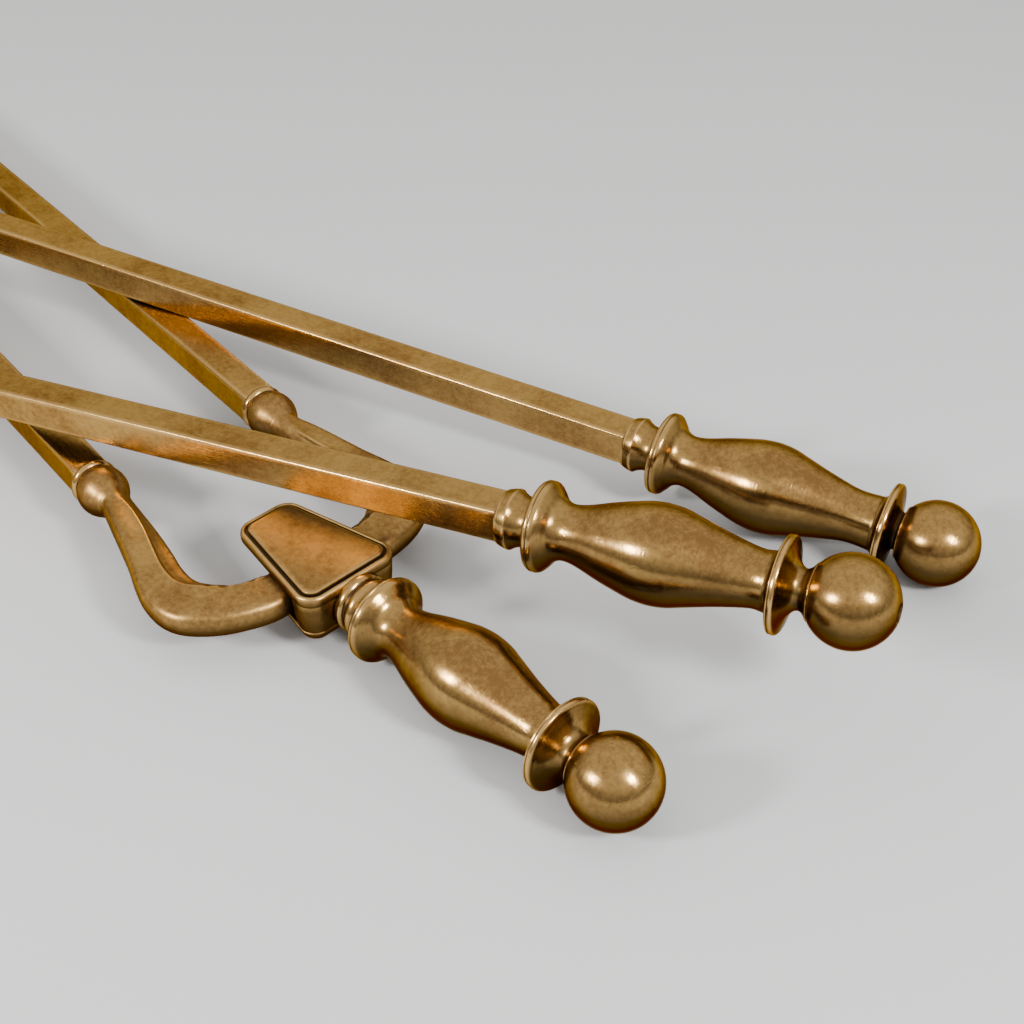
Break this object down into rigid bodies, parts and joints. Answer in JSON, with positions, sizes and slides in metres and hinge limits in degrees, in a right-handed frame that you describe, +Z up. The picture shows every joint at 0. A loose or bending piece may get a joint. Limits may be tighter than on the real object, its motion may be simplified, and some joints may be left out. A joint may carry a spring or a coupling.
{
  "type": "fireplace tool set",
  "caption": "Brass fire irons laid crossed: hinged tongs with lyre arms, a poker and a shovel, with turned ball handles and square shafts.",
  "frame": {"origin": "on the ground, under the middle of the laid set's bounding box", "axes": "+X towards the handles, along the tongs' handle; +Z up from the ground; +Y towards the poker's handle"},
  "size_m": [0.699, 0.3738, 0.0581],
  "materials": {
    "turned_brass": "aged polish with turning lines and dark grooves",
    "drawn_brass": "aged polish, brushed along the shaft",
    "cast_brass": "aged polish over a slightly pitted casting",
    "working_brass": "dull, scratched and heat darkened",
    "steel": "dark oiled steel"
  },
  "bodies": {
    "tongs": {"bottom_cover": "cast_brass", "far_hinge_pin": "steel", "hinge_housing": "cast_brass", "near_hinge_pin": "steel", "tongs_ball": "turned_brass", "tongs_ferrule": "turned_brass", "tongs_grip": "turned_brass", "tongs_tie_rod": "steel", "top_cover": "cast_brass"},
    "near_arm": {"near_arm_bead": "turned_brass", "near_arm_bow": "cast_brass", "near_claw": "working_brass", "near_claw_rivets": "working_brass", "near_shaft": "drawn_brass"},
    "far_arm": {"far_arm_bead": "turned_brass", "far_arm_bow": "cast_brass", "far_claw": "working_brass", "far_claw_rivets": "working_brass", "far_shaft": "drawn_brass"},
    "poker": {"poker_ball": "turned_brass", "poker_ferrule": "turned_brass", "poker_grip": "turned_brass", "poker_shaft": "drawn_brass", "poker_tie_rod": "steel", "poker_tip": "drawn_brass"},
    "shovel": {"shovel_ball": "turned_brass", "shovel_ferrule": "turned_brass", "shovel_grip": "turned_brass", "shovel_pan": "working_brass", "shovel_rivets": "working_brass", "shovel_shaft": "drawn_brass", "shovel_socket": "turned_brass", "shovel_tie_rod": "steel"}
  },
  "joints": [
    {"name": "near_arm_hinge", "type": "hinge", "parent": "tongs", "child": "near_arm", "pos_m": [0.18743, 0.01638, 0.0154], "axis": [0, 0, 1], "range_deg": [0, 12]},
    {"name": "far_arm_hinge", "type": "hinge", "parent": "tongs", "child": "far_arm", "pos_m": [0.18743, 0.03438, 0.0154], "axis": [0, 0, 1], "range_deg": [0, 3.8]},
    {"name": "poker_lift", "type": "slide", "parent": "tongs", "child": "poker", "axis": [0, 0, 1], "range_m": [0, 0.15]},
    {"name": "shovel_lift", "type": "slide", "parent": "tongs", "child": "shovel", "axis": [0, 0, 1], "range_m": [0, 0.15]}
  ]
}
